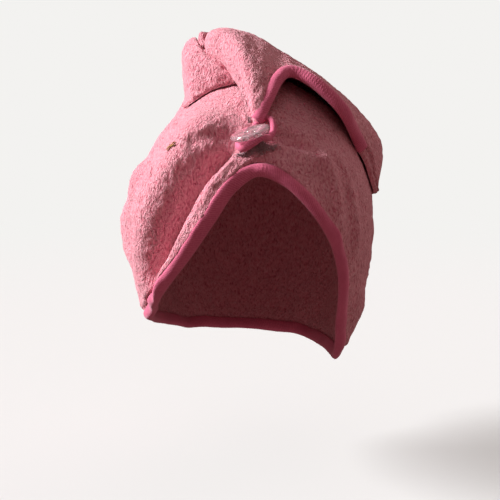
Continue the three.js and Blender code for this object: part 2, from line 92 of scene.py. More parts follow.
# The hood's rolls and creases. Each has its height at the middle, its widths to the left and the right of
# a path that runs away from the crown, how sharp its middle is (1 is a crease, 2 is round), and the path's
# turns and drops.
FOLDS = [
    {"name": "front roll on the left", "height": 10.5, "left": 25, "right": 30, "sharp": 2,
     "path": [(348, 33), (338, 42), (326, 54), (319, 65), (314, 77), (310, 88), (307, 100), (304, 114),
              (301, 130)]},
    {"name": "valley beside the roll", "height": -9.5, "left": 3.5, "right": 26, "sharp": 1.2,
     "path": [(357, 50), (349, 54), (342, 62), (336, 70), (331.5, 78), (326.5, 87), (320.5, 97), (314, 109),
              (306, 122)]},
    {"name": "roll beside the binding", "height": 5.6, "left": 15, "right": 3.6, "sharp": 2,
     "path": [(358, 53), (353, 57), (346, 65), (339.5, 74), (334.5, 83), (328.5, 92), (321.5, 103),
              (315, 112), (308, 121)]},
    {"name": "tuck behind the front roll", "height": -5.6, "left": 8, "right": 12, "sharp": 1.4,
     "path": [(311, 64), (310, 70), (308, 78), (303.5, 87), (298, 97), (292, 107), (289, 114)]},
    {"name": "back roll on the left", "height": 6.6, "left": 32, "right": 34, "sharp": 2,
     "path": [(292, 60), (286, 72), (275, 86), (272, 100), (272, 112)]},
    {"name": "flat stretch at the upper left", "height": -5.4, "left": 34, "right": 34, "sharp": 2,
     "path": [(285, 15), (276, 26), (271, 38), (270, 50), (271, 62), (274, 76), (276, 92)]},
    {"name": "bulge above the lower left corner", "height": 3.6, "left": 20, "right": 24, "sharp": 2,
     "path": [(284, 100), (283, 112), (284, 124), (285, 136)]},
    {"name": "first gather left of the button", "height": 1.6, "left": 6, "right": 8, "sharp": 2,
     "path": [(0, 54), (357, 53.5), (350, 52.6), (342, 53.4), (335, 56.5), (326, 61)]},
    {"name": "second gather left of the button", "height": -2.4, "left": 13, "right": 6, "sharp": 1.8,
     "path": [(0, 50), (357, 50), (350, 49.4), (342, 50), (334, 52.8), (325, 57)]},
    {"name": "third gather left of the button", "height": -1.8, "left": 5, "right": 7, "sharp": 1.8,
     "path": [(359, 55), (357, 56), (351, 56.8), (346, 59.5), (339, 66)]},
    {"name": "short crease on the slope", "height": -1.1, "left": 6, "right": 8, "sharp": 1.8,
     "path": [(327, 60), (328, 63), (330, 70), (331, 75), (331, 78)]},
    {"name": "dimple on the left", "height": -4.6, "left": 3.2, "right": 3.8, "sharp": 1.1,
     "path": [(309, 64), (309.5, 66.5), (310, 70), (311, 75), (311, 78)]},
    {"name": "roll over the forehead on the right", "height": 2.8, "left": 6.5, "right": 19, "sharp": 2,
     "path": [(358, 54.6), (3, 54), (10, 54), (17, 55.4), (24, 57), (32, 59), (42, 66)]},
    {"name": "recess above that roll", "height": -3.4, "left": 17, "right": 6.5, "sharp": 2,
     "path": [(358, 50), (5, 49.8), (12, 50.2), (19, 51.8), (27, 54), (36, 58)]},
    {"name": "soft ridge on the right", "height": 3.6, "left": 13, "right": 9, "sharp": 1.6,
     "path": [(8, 44), (16, 45.5), (24, 48), (31, 54), (36, 62), (38, 72), (38, 84), (38, 100)]},
    {"name": "outer ridge on the right", "height": 3, "left": 11, "right": 8, "sharp": 1.6,
     "path": [(40, 50), (45, 60), (48, 72), (50, 86), (51, 106)]},
    {"name": "nape fold on the left", "height": 2.6, "left": 14, "right": 14, "sharp": 1.6,
     "path": [(226, 100), (229, 124), (226, 150)]},
    {"name": "nape fold on the right", "height": 2.6, "left": 14, "right": 14, "sharp": 1.6,
     "path": [(138, 104), (134, 128), (136, 154)]},
    {"name": "long fold on the right side", "height": 2.6, "left": 15, "right": 12, "sharp": 1.5,
     "path": [(94, 84), (88, 112), (80, 148)]},
    {"name": "flare at the lower right corner", "height": 6.5, "left": 24, "right": 24, "sharp": 2,
     "path": [(73, 116), (69, 130), (65, 144), (62, 160), (61, 178)]},
    {"name": "gathered nub under the button", "height": 3.6, "left": 4.5, "right": 5, "sharp": 1.8,
     "path": [(356, 56), (358.5, 55.5), (0.6, 54.6), (3, 53.8), (5.5, 53.4)]},
]

# The tail's three lapped stretches, as rows across it: how far a row leans to the right, its front, crest
# and rear as climbs from the face over the crown, and the lifts there as shares of TAIL_HEIGHT.
TAIL_COLUMNS = ("lean", "front", "crest", "rear", "front_lift", "crest_lift", "rear_lift")
TAIL_FRONT = [
    (-17.2, 89, 92, 100, 0.5, 0.55, 0.48),
    (-16.2, 86.5, 92, 101, 0.6, 0.73, 0.54),
    (-14.4, 83, 92, 102, 0.62, 0.86, 0.57),
    (-12.5, 80, 92, 102.5, 0.58, 0.9, 0.57),
    (-10, 77, 92, 103.2, 0.5, 0.92, 0.57),
    (-7.7, 72, 92, 104.5, 0.41, 0.9, 0.55),
    (-5.9, 67, 92, 105.5, 0.3, 0.87, 0.53),
    (-4.5, 62, 92, 107, 0.22, 0.83, 0.51),
    (-3.3, 58, 92, 108, 0.16, 0.81, 0.5),
    (-2.4, 54.5, 91.5, 109, 0.1, 0.785, 0.5),
    (-1.7, 49.5, 91, 110, 0.02, 0.76, 0.5),
    (-1, 46.8, 91, 110.8, 0, 0.74, 0.5),
    (0.1, 46.2, 90, 112, 0.01, 0.7, 0.5),
    (1.4, 46.4, 89.5, 113, 0.02, 0.66, 0.49),
    (2.5, 47.4, 89, 114, 0.04, 0.62, 0.48),
    (3.9, 50.6, 88, 116, 0.07, 0.57, 0.45),
    (5.3, 54.2, 88, 117.5, 0.13, 0.52, 0.43),
    (7, 58.6, 87, 119, 0.2, 0.46, 0.4),
    (8.6, 62.6, 87, 121, 0.26, 0.42, 0.37),
    (10.2, 65.6, 87, 122.5, 0.3, 0.4, 0.35),
    (12, 67.2, 87, 124, 0.32, 0.37, 0.31),
    (14.1, 67.4, 87, 126, 0.32, 0.34, 0.28),
    (19.5, 65.2, 87, 131, 0.32, 0.3, 0.2),
    (25.9, 62.4, 87, 136, 0.29, 0.27, 0.14),
    (31.8, 60.7, 88, 141, 0.24, 0.24, 0.08),
    (38.4, 60.3, 90, 146, 0.16, 0.25, 0.03),
    (45.9, 63.7, 92, 151, 0.05, 0.31, 0.01),
    (52, 64, 93, 155, 0.01, 0.36, 0),
    (58, 64, 94, 158, 0.02, 0.38, 0.01),
    (63, 61, 95, 155, 0.01, 0.33, 0.01),
    (68, 58, 96, 148, 0, 0.22, 0),
    (73, 59, 97, 136, 0, 0.11, 0),
    (77, 68, 96, 119, 0, 0.04, 0),
    (79, 84, 95, 106, 0, 0, 0),
]
TAIL_FOLD = [
    (-32.5, 82, 96, 114, 0, 0, 0),
    (-30.2, 78.5, 96, 115, 0, 0.08, 0.01),
    (-26.8, 74.5, 97, 116, 0, 0.48, 0.2),
    (-24.2, 74, 97, 116, 0, 0.78, 0.35),
    (-22.5, 74, 97, 116, 0, 0.88, 0.4),
    (-20, 74, 97, 115, 0, 0.92, 0.5),
    (-18.9, 74, 96, 110, 0, 0.91, 0.56),
    (-18.0, 74, 94, 101, 0, 0.85, 0.66),
    (-17.2, 74, 86, 88, 0, 0.6, 0.56),
    (-15.6, 74, 84, 86, 0, 0.5, 0.47),
    (-13.5, 74, 83, 84.8, 0, 0.4, 0.38),
    (-9, 74, 81, 83.2, 0, 0.18, 0.16),
    (-6.6, 74, 76.5, 79, 0, 0, 0),
]
TAIL_BACK = [
    (-42, 134, 143, 158, 0, 0, 0),
    (-37, 124, 140, 178, 0, 0.2, 0),
    (-31, 118, 138, 194, 0.06, 0.42, 0),
    (-24, 117.5, 136, 206, 0.35, 0.62, 0),
    (-20, 117.5, 134, 211, 0.7, 0.74, 0),
    (-18.4, 115.5, 132, 213, 0.9, 0.78, 0),
    (-17.6, 103.5, 130, 214, 0.95, 0.79, 0),
    (-13.5, 103.5, 128, 218, 0.9, 0.8, 0),
    (-9, 104.8, 128, 221, 0.7, 0.8, 0),
    (-1.7, 111.2, 130, 223, 0.56, 0.78, 0.01),
    (6.6, 120.2, 134, 222, 0.38, 0.7, 0.01),
    (14.1, 127.2, 140, 218, 0.26, 0.6, 0),
    (22, 134.2, 146, 211, 0.14, 0.48, 0),
    (31.8, 142.2, 152, 198, 0.04, 0.28, 0),
    (38.4, 147.2, 155, 184, 0, 0.1, 0),
    (43.5, 151, 157, 168, 0, 0, 0),
]

# How steeply the rows at some leans rise from their front: 1 is a straight slope
RISE = [
    (-16, 1.7), (-12.5, 3), (-10, 3.5), (-7.7, 3.5), (-5.9, 3.2), (-4.5, 2.8), (-3.3, 2.4), (-2.4, 2.1),
    (-1.7, 1.8), (0.1, 1.6), (3.6, 1.7),
]

# The walls under the tail's edges: their least depth, how far the front one is tucked under, as a climb, and
# the leans between which the tuck starts and the wall ends at the tip
EDGE_DEPTH = 2.5
TUCK = 5
TUCK_STARTS = (-16, -13)
WALL_ENDS = (-3, -1.8)

# Where the slit's binding starts and ends, as leans
SLIT = (1.5, 53.0)

# The loop's route: lean, climb and lift over the hood
LOOP_PATH = [
    (2.4, 50.4, 1.6), (4.2, 49.4, 2.8), (5.9, 47.7, 4.8), (6.7, 45.1, 6.4), (6.6, 42.2, 7), (5.0, 39.4, 7),
    (2.0, 36.9, 6.6), (-1.8, 35.4, 6), (-5.2, 35.2, 5.4), (-6.3, 37.3, 4.2), (-4.6, 39.8, 3.3),
    (-1.6, 42.8, 2.8), (0.4, 46.4, 2.4), (1.2, 49, 1.6),
]

# The loop's radius, and how much thicker it is where it is bunched, at a share of its route
LOOP_RADIUS = 2.1
LOOP_BUNCH = 1.2
BUNCH_PLACE = 0.59
BUNCH_SPREAD = 0.12

# The climb and lean of the button's seat, and its turns about X and Y
BUTTON_SEAT = (37.5, -1.8)
BUTTON_TURN = (9.0, -17.0)
BUTTON_RADIUS = 13.0
HOLE_RADIUS = 1.25
HOLE_PLACE = 3.5
HOLE_DEPTH = 9.0

# The winding of the thread under the button
THREAD_RADIUS = 0.55
THREAD_WIND = 1.4
THREAD_TURNS = 9

# Tufts of pile: the middle of each patch and its spread, as lean and climb, and how many
TUFT_SPOTS = [
    ((1.4, 34.9), (1.4, 1.2), 420),
    ((-3.5, 33.4), (2.6, 0.5), 260),
    ((4.2, 35.4), (1.6, 0.6), 140),
]

SEED = 11
LATTICE = np.random.default_rng(SEED).uniform(-1, 1, (32, 32, 32))


def rounded(low, high, x):
    """A smooth step from 0 at low to 1 at high."""
    t = np.clip((x - low) / (high - low), 0, 1)
    return t * t * (3 - 2 * t)


def noise(points, size, shift=0.0):
    """Smooth noise from -1 to 1 at points, in lumps of about that size."""
    q = points / size + shift
    base = np.floor(q).astype(int)
    t = q - base
    t = t * t * (3 - 2 * t)
    total = np.zeros(points.shape[:-1])
    for corner in np.ndindex(2, 2, 2):
        share = np.prod(np.where(corner, t, 1 - t), axis=-1)
        cell = (base + corner) % LATTICE.shape[0]
        total += share * LATTICE[cell[..., 0], cell[..., 1], cell[..., 2]]
    return total


def unit(vectors):
    return vectors / np.linalg.norm(vectors, axis=-1, keepdims=True)


def towards(turn, drop):
    """Unit vectors at a turn from the face and a drop from the crown."""
    t, d = np.radians(turn), np.radians(drop)
    return np.stack([np.sin(t) * np.sin(d), -np.cos(t) * np.sin(d), np.cos(d)], -1)


def over(climb, lean):
    """Unit vectors at a climb from the face over the crown and a lean to the right."""
    c, l = np.radians(climb), np.radians(lean)
    return np.stack([np.sin(l) + 0 * c, -np.cos(l) * np.cos(c), np.cos(l) * np.sin(c)], -1)


def smooth_path(points, count, closed=False):
    """Equally spaced points on a centripetal Catmull-Rom curve through the given ones."""
    points = np.asarray(points, float)
    if closed:
        ring = np.concatenate([points[-1:], points, points[:2]])
    else:
        ring = np.concatenate([2 * points[:1] - points[1:2], points, 2 * points[-1:] - points[-2:-1]])
    fine = []
    for p0, p1, p2, p3 in zip(ring, ring[1:], ring[2:], ring[3:]):
        knots = np.cumsum([0] + [np.linalg.norm(b - a) ** 0.5 for a, b in ((p0, p1), (p1, p2), (p2, p3))])
        t = np.linspace(knots[1], knots[2], 24, endpoint=False)[:, None]
        mix = lambda a, b, low, high: (a * (high - t) + b * (t - low)) / (high - low)
        a1 = mix(p0, p1, knots[0], knots[1])
        a2 = mix(p1, p2, knots[1], knots[2])
        a3 = mix(p2, p3, knots[2], knots[3])
        b1 = mix(a1, a2, knots[0], knots[2])
        b2 = mix(a2, a3, knots[1], knots[3])
        fine.append(mix(b1, b2, knots[1], knots[2]))
    fine = np.concatenate(fine + [points[:1] if closed else points[-1:]])
    length = np.concatenate([[0], np.cumsum(np.linalg.norm(np.diff(fine, axis=0), axis=1))])
    spots = np.linspace(0, length[-1], count, endpoint=not closed)
    return np.stack([np.interp(spots, length, fine[:, k]) for k in range(3)], -1)


def hollow_reach(way):
    across = np.abs(way[..., 0]) / np.where(way[..., 0] < 0, HOLLOW["left"], HOLLOW["right"])
    along = np.abs(way[..., 1]) / np.where(way[..., 1] < 0, HOLLOW["front"], HOLLOW["back"])
    upright = np.abs(way[..., 2]) / np.where(way[..., 2] < 0, HOLLOW["down"], HOLLOW["up"])
    return (across ** 2 + along ** 2 + upright ** 2) ** -0.5


def prepared_folds():
    """Each fold with its path as a row of unit vectors."""
    ready = []
    for fold in FOLDS:
        turns, drops = np.array(fold["path"], float).T
        ready.append((fold, unit(smooth_path(towards(turns, drops), 18))))
    return ready


FOLD_LINES = prepared_folds()


def fold_lift(way):
    """How far the folds raise the hood at unit vectors."""
    spots = way.reshape(-1, 3)
    lift = np.zeros(len(spots))
    for fold, line in FOLD_LINES:
        middle = line.mean(axis=0)
        widest = max(fold["left"], fold["right"]) / HOLLOW["up"]
        reach = np.linalg.norm(line - middle, axis=1).max() + widest
        chosen = np.flatnonzero(np.linalg.norm(spots - middle, axis=1) < reach)
        lift[chosen] += one_fold(spots[chosen], fold, line)
    return lift.reshape(way.shape[:-1])


def one_fold(way, fold, line):
    """How far one fold raises the hood at unit vectors."""
    nearest = np.full(len(way), np.inf)
    side = np.zeros(len(way))
    place = np.zeros(len(way))
    for i, (start, end) in enumerate(zip(line, line[1:])):
        step = end - start
        share = np.clip(((way - start) @ step) / (step @ step), 0, 1)
        gap = way - start - share[:, None] * step
        distance = np.linalg.norm(gap, axis=1)
        closer = distance < nearest
        nearest = np.where(closer, distance, nearest)
        across = gap @ unit(np.cross(start, step)) / np.maximum(distance, 1e-6)
        side = np.where(closer, across, side)
        place = np.where(closer, (i + share) / (len(line) - 1), place)
    width = fold["right"] + (fold["left"] - fold["right"]) * rounded(-0.5, 0.5, side)
    across = np.minimum(1, nearest * HOLLOW["up"] / width)
    taper = rounded(0, 0.2, place) * (1 - rounded(0.8, 1, place))
    return fold["height"] * taper * (1 - across ** fold["sharp"]) ** 2


def hood_reach(way):
    """Reach of the hood's outer face, without its pile."""
    slack = 0.8 * noise(way * HOLLOW["up"], 26.0, 3.3) + 0.35 * noise(way * HOLLOW["up"], 11.0, 7.7)
    return hollow_reach(way) + fold_lift(way) + slack + CLOTH


def at(way, reach):
    return MIDDLE + way * np.asarray(reach)[..., None]


def normals_of(grid, wraps=False):
    """Unit normals of a grid of points, facing away from the middle of the hollow."""
    along = np.gradient(grid, axis=0)
    if wraps:
        across = np.roll(grid, -1, 1) - np.roll(grid, 1, 1)
    else:
        across = np.gradient(grid, axis=1)
    normal = np.cross(along, across)
    normal /= np.maximum(np.linalg.norm(normal, axis=-1, keepdims=True), 1e-9)
    facing = np.sum(normal * (grid - MIDDLE), axis=-1, keepdims=True)
    return np.where(facing < 0, -normal, normal)


def pile(points):
    """Height of the terry's clumps of pile."""
    drift = np.stack([noise(points, 9.0, 1.7), noise(points, 9.0, 4.1), noise(points, 9.0, 8.3)], -1)
    clumps = noise(points + 1.5 * drift, 2.9, 2.2)
    loose = noise(points, 5.5, 6.1)
    return PILE_DEPTH * (0.75 * clumps + 0.45 * loose)


def swell(x, place, spread):
    """A smooth bump of height 1 at a place."""
    return np.exp(-((x - place) / spread) ** 2)


def stitched(gap):
    """The puffed terry and the groove beside a strip, at a distance from the cloth's edge."""
    return PUFF * swell(gap, PUFF_PLACE, PUFF_SPREAD) - GROOVE * swell(gap, GROOVE_PLACE, GROOVE_SPREAD)


def mesh_object(name, points, faces, uv=None, smooth=True):
    """A Blender object from points in millimetres. uv is one pair for each point, in millimetres."""
    mesh = bpy.data.meshes.new(name)
    points = np.asarray(points, float).reshape(-1, 3)
    faces = list(faces)
    sizes = np.array([len(face) for face in faces])
    corners = np.concatenate(faces)
    mesh.vertices.add(len(points))
    mesh.vertices.foreach_set("co", (points * MM).astype(np.float32).ravel())
    mesh.loops.add(len(corners))
    mesh.loops.foreach_set("vertex_index", corners.astype(np.int32))
    mesh.polygons.add(len(sizes))
    mesh.polygons.foreach_set("loop_start", np.concatenate([[0], np.cumsum(sizes)[:-1]]).astype(np.int32))
    mesh.update(calc_edges=True)
    if smooth:
        mesh.shade_smooth()
    if uv is not None:
        layer = mesh.uv_layers.new(name="cloth")
        layer.data.foreach_set("uv", np.asarray(uv, np.float32).reshape(-1, 2)[corners].ravel())
    mesh.validate()
    body = bpy.data.objects.new(name, mesh)
    bpy.context.scene.collection.objects.link(body)
    return body


def grid_faces(rows, columns, start=0, wraps=False, flip=False):
    """Quads between the points of a grid that are numbered row by row."""
    i, j = np.meshgrid(np.arange(rows - 1), np.arange(columns if wraps else columns - 1), indexing="ij")
    k = (j + 1) % columns
    quads = np.stack([i * columns + j, i * columns + k, (i + 1) * columns + k, (i + 1) * columns + j], -1)
    quads = quads.reshape(-1, 4) + start
    return quads[:, ::-1] if flip else quads


def joined_rims(first, second, closed):
    """Quads between two rows of point numbers."""
    ends = np.roll(first, -1), np.roll(second, -1)
    quads = np.stack([first, second, ends[1], ends[0]], -1)
    return quads if closed else quads[:-1]


def build_hood():
    """The hood's terry outside and its lining, closed along the hem."""
    rim = unit(smooth_path(towards(*np.array(HEM, float).T), HOOD_COLUMNS, closed=True))
    angle = np.arccos(rim @ CROWN)
    side = unit(rim - (rim @ CROWN)[:, None] * CROWN)
    layers = []
    for rows, outside in ((HOOD_ROWS, True), (LINING_ROWS, False)):
        share = np.linspace(1 / rows, 1, rows)[:, None] * angle[None]
        way = np.cos(share)[..., None] * CROWN + np.sin(share)[..., None] * side[None]
        reach = hood_reach(way)
        grid = at(way, reach if outside else reach - CLOTH)
        if outside:
            gap = (angle[None] - share) * HOLLOW["up"]
            relief = pile(grid) * rounded(*PILE_STARTS, gap) + stitched(gap)
            grid = grid + normals_of(grid, wraps=True) * relief[..., None]
        layers.append(grid)
    outer, inner = layers
    tops = [at(CROWN, hood_reach(CROWN)), at(CROWN, hood_reach(CROWN) - CLOTH)]
    points = np.concatenate([outer.reshape(-1, 3), inner.reshape(-1, 3), tops])
    inside = outer.shape[0] * HOOD_COLUMNS
    top = len(points) - 2
    quads = [
        grid_faces(HOOD_ROWS, HOOD_COLUMNS, wraps=True, flip=True),
        grid_faces(LINING_ROWS, HOOD_COLUMNS, start=inside, wraps=True),
        joined_rims(np.arange(HOOD_COLUMNS) + (HOOD_ROWS - 1) * HOOD_COLUMNS,
                    np.arange(HOOD_COLUMNS) + inside + (LINING_ROWS - 1) * HOOD_COLUMNS, True),
    ]
    first = np.arange(HOOD_COLUMNS)
    caps = [np.stack([np.full_like(first, top), first, np.roll(first, -1)], -1),
            np.stack([np.full_like(first, top + 1), np.roll(first, -1) + inside, first + inside], -1)]
    faces = [q for block in quads for q in block] + [c for block in caps for c in block]
    return mesh_object("hood_terry", points, faces)


def row_table(table, leans):
    """The columns of a tail table at given leans, with smooth curves between its rows."""
    table = np.array(table, float)
    key = table[:, 0]
    slopes = np.gradient(table, axis=0) / np.gradient(key)[:, None]
    i = np.clip(np.searchsorted(key, leans, side="right") - 1, 0, len(key) - 2)
    step = (key[i + 1] - key[i])[:, None]
    u = ((leans - key[i])[:, None]) / step
    value = (table[i] * (1 + 2 * u) * (1 - u) ** 2 + table[i + 1] * u * u * (3 - 2 * u)
             + step * (u * (1 - u) ** 2 * slopes[i] - u * u * (1 - u) * slopes[i + 1]))
    return dict(zip(TAIL_COLUMNS, value.T))


def tail_arch(row, climb, leans):
    """The lift between a row's front, crest and rear, as a share of TAIL_HEIGHT."""
    steep = np.interp(leans, *zip(*RISE))
    before = np.clip((row["crest"] - climb) / (row["crest"] - row["front"]), 0, 1)
    behind = np.clip((climb - row["crest"]) / (row["rear"] - row["crest"]), 0, 1)
    rise = row["crest_lift"] - (row["crest_lift"] - row["front_lift"]) * before ** steep
    fall = row["rear_lift"] + (row["crest_lift"] - row["rear_lift"]) * np.sqrt(1 - behind ** 2.2)
    return np.maximum(0, np.where(climb < row["crest"], rise, fall))


def relaxed(grid, rounds):
    """Evens a grid of points along both of its ways, with its edges left in place."""
    grid = grid.copy()
    for _ in range(rounds):
        grid[1:-1] = 0.5 * grid[1:-1] + 0.25 * (grid[2:] + grid[:-2])
        grid[:, 1:-1] = 0.5 * grid[:, 1:-1] + 0.25 * (grid[:, 2:] + grid[:, :-2])
    return grid


def tail_grid(table, columns, steps, walls, open_front, swirl):
    """The outer face of a stretch of the tail, with a wall down to the hood along its front and rear."""
    leans = np.linspace(table[0][0], table[-1][0], columns)
    row = row_table(table, leans)
    rows = []
    shut = np.ones(columns)
    tucked = np.zeros(columns)
    if open_front:
        shut = 1 - rounded(*WALL_ENDS, leans)
        tucked = TUCK * rounded(*TUCK_STARTS, leans) * shut
    for k in range(walls, 0, -1):
        t = k / walls
        depth = np.maximum(row["front_lift"] * TAIL_HEIGHT * shut, EDGE_DEPTH)
        lift = row["front_lift"] * TAIL_HEIGHT - depth * t
        climb = row["front"] + 0.02 * depth * math.sin(math.pi * t) + tucked * t
        rows.append((climb, lift))
    for k in range(steps + 1):
        climb = row["front"] + (row["rear"] - row["front"]) * k / steps
        rows.append((climb, tail_arch(row, climb, leans) * TAIL_HEIGHT))
    for k in range(1, walls + 1):
        t = k / walls
        depth = np.maximum(row["rear_lift"] * TAIL_HEIGHT, EDGE_DEPTH)
        rows.append((row["rear"] - 0.02 * depth * math.sin(math.pi * t),
                     row["rear_lift"] * TAIL_HEIGHT - depth * t))
    climb = np.array([r[0] for r in rows])
    lift = np.array([r[1] for r in rows])
    way = over(climb, leans[None])
    base = hood_reach(way) + DRAPE_GAP + CLOTH
    high = np.clip(lift / TAIL_HEIGHT, 0, 1)
    grid = at(way, base + np.maximum(lift, -CLOTH * 0.8) + swirl(climb, leans[None] + 0 * climb) * high)
    gap = np.radians(climb - row["front"][None]) * (HOLLOW["up"] + 12)
    seam = stitched(gap) * rounded(7, 12, leans)[None] if open_front else 0 * gap
    return leans, relaxed(grid, EVENING_ROUNDS), seam


def flat_swirl(climb, lean):
    """Shallow folds that run up the drape towards the crown."""
    phase = np.radians(climb * 3.2 + lean * 5.5)
    return 1.6 * np.sin(phase) + 1.1 * np.sin(2.3 * phase + 1.0)


def back_swirl(climb, lean):
    """The twist of the stretch behind: broad ridges with narrow creases between them."""
    phase = np.radians(climb * 4 - lean * 5)
    crease = 1 - np.abs(np.sin(np.radians(climb * 3.4 - lean * 4.6) + 0.6))
    return 5.0 * np.sin(phase) - 7.0 * crease ** 4


def no_swirl(climb, lean):
    return 0 * climb


def off_hood(points, gap):
    """Points moved out where they would lie nearer than gap to the hood."""
    away = points - MIDDLE
    reach = np.linalg.norm(away, axis=-1)
    way = away / reach[..., None]
    return at(way, np.maximum(reach, hood_reach(way) + gap))


def build_tail(name, table, columns, steps, walls, swirl, open_front=False):
    """A thick sheet with terry on its outer face."""
    leans, outer, seam = tail_grid(table, columns, steps, walls, open_front, swirl)
    normals = normals_of(outer)
    inner = off_hood(outer - normals * CLOTH, 0.25)[::2, ::2]
    outer = outer + normals * (pile(outer) + seam)[..., None]
    rows, cols = outer.shape[:2]
    low_rows, low_cols = inner.shape[:2]
    start = rows * cols
    points = np.concatenate([outer.reshape(-1, 3), inner.reshape(-1, 3)])
    faces = list(grid_faces(rows, cols)) + list(grid_faces(low_rows, low_cols, start, flip=True))
    upper = np.arange(start).reshape(rows, cols)
    lower = np.arange(low_rows * low_cols).reshape(low_rows, low_cols) + start
    for rim, under, turn in ((upper[0], lower[0], True), (upper[-1], lower[-1], False),
                             (upper[:, 0], lower[:, 0], False), (upper[:, -1], lower[:, -1], True)):
        faces += edge_faces(rim, under, turn)
    return mesh_object(name, points, faces)


def edge_faces(rim, under, turn):
    """Faces between an edge and one with every second point of it."""
    faces = []
    for k in range(len(under) - 1):
        ring = [rim[2 * k], rim[2 * k + 1], rim[2 * k + 2], under[k + 1], under[k]]
        faces.append(ring[::-1] if turn else ring)
    return faces


# Materials

def new_material(name, roughness, **sockets):
    material = bpy.data.materials.new(name)
    material.use_nodes = True
    shader = material.node_tree.nodes["Principled BSDF"]
    shader.inputs["Roughness"].default_value = roughness
    for socket, value in sockets.items():
        shader.inputs[socket.replace("_", " ")].default_value = value
    return material, material.node_tree, shader


def add(tree, kind, **values):
    """A node with its inputs and properties set by name."""
    node = tree.nodes.new(kind)
    for name, value in values.items():
        label = name.replace("_", " ")
        if label in node.inputs:
            node.inputs[label].default_value = value
        else:
            setattr(node, name, value)
    return node


def ramp(tree, source, stops):
    node = tree.nodes.new("ShaderNodeValToRGB")
    band = node.color_ramp
    while len(band.elements) < len(stops):
        band.elements.new(0.5)
    for element, (place, colour) in zip(band.elements, stops):
        element.position = place
        element.color = (*colour, 1)
    tree.links.new(source, node.inputs["Fac"])
    return node.outputs["Color"]


def mixed(tree, kind, factor, first, second):
    node = tree.nodes.new("ShaderNodeMix")
    node.data_type = "RGBA"
    node.blend_type = kind
    sockets = (node.inputs[0], node.inputs[6], node.inputs[7])
    for socket, value in zip(sockets, (factor, first, second)):
        if isinstance(value, bpy.types.NodeSocket):
            tree.links.new(value, socket)
        elif isinstance(value, tuple):
            socket.default_value = (*value, 1)
        else:
            socket.default_value = value
    return node.outputs[2]


def math_node(tree, operation, first, second):
    node = tree.nodes.new("ShaderNodeMath")
    node.operation = operation
    for socket, value in zip(node.inputs, (first, second)):
        if isinstance(value, bpy.types.NodeSocket):
            tree.links.new(value, socket)
        else:
            socket.default_value = value
    return node.outputs[0]


# The terry's colours from the clumps' tips to the gaps between them; the gaps' darker colour is painted
# shade.
PILE_TIP = (0.92, 0.48, 0.56)
PILE_MID = (0.84, 0.345, 0.425)
PILE_GAP_SHADE = (0.56, 0.12, 0.18)
# The tufts' colours: paler than the terry, partly their own colour and partly painted light that lifts them
# out of the button's shadow. Their gap colour is painted shade as well.
TUFT_TIP_PAINTED_LIGHT = (0.98, 0.74, 0.79)
TUFT_MID_PAINTED_LIGHT = (0.94, 0.6, 0.68)
TUFT_GAP_PAINTED_SHADE_AND_LIGHT = (0.82, 0.36, 0.46)


def terry_material(name="terry", tip=PILE_TIP, middle=PILE_MID, gap_shade=PILE_GAP_SHADE):
    """Short fleecy pile that leans down: pale tips over darker pink gaps, whose darker colour is painted
    shade.
    """
    material, tree, shader = new_material(name, 0.95, Sheen_Weight=0.4, Sheen_Roughness=0.45)
    shader.inputs["Sheen Tint"].default_value = (1.0, 0.80, 0.85, 1)
    shader.inputs["Specular IOR Level"].default_value = 0.1
    place = add(tree, "ShaderNodeTexCoord").outputs["Object"]
    warp = add(tree, "ShaderNodeTexNoise", Scale=110.0, Detail=2.0)
    tree.links.new(place, warp.inputs["Vector"])
    shifted = add(tree, "ShaderNodeVectorMath", operation="MULTIPLY_ADD")
    tree.links.new(warp.outputs["Color"], shifted.inputs[0])
    shifted.inputs[1].default_value = (0.005, 0.005, 0.005)
    tree.links.new(place, shifted.inputs[2])
    lean = add(tree, "ShaderNodeMapping")
    lean.inputs["Rotation"].default_value = (math.radians(14), math.radians(22), 0)
    lean.inputs["Scale"].default_value = (1.0, 1.0, 0.5)
    tree.links.new(shifted.outputs[0], lean.inputs["Vector"])
    clump = add(tree, "ShaderNodeTexVoronoi", Scale=820.0, feature="SMOOTH_F1")
    clump.inputs["Smoothness"].default_value = 0.6
    tree.links.new(lean.outputs["Vector"], clump.inputs["Vector"])
    tuft = add(tree, "ShaderNodeTexNoise", Scale=760.0, Detail=4.0, Roughness=0.62)
    tree.links.new(lean.outputs["Vector"], tuft.inputs["Vector"])
    patch = add(tree, "ShaderNodeTexNoise", Scale=60.0, Detail=3.0)
    tree.links.new(place, patch.inputs["Vector"])
    dome = math_node(tree, "SUBTRACT", 1.0, clump.outputs["Distance"])
    height = math_node(tree, "ADD", math_node(tree, "MULTIPLY", dome, 0.38),
                       math_node(tree, "MULTIPLY", tuft.outputs["Fac"], 0.75))
    # The colour follows the clumps' height: darker in the gaps as painted shade.
    colour = ramp(tree, height, [(0.34, gap_shade), (0.56, middle), (0.76, tip)])
    tone = ramp(tree, patch.outputs["Fac"], [(0.3, (0.93, 0.88, 0.90)), (0.7, (1.0, 1.0, 1.0))])
    tree.links.new(mixed(tree, "MULTIPLY", 1.0, colour, tone), shader.inputs["Base Color"])
    bump = add(tree, "ShaderNodeBump", Strength=1.0, Distance=0.0024)
    tree.links.new(height, bump.inputs["Height"])
    tree.links.new(bump.outputs["Normal"], shader.inputs["Normal"])
    return material


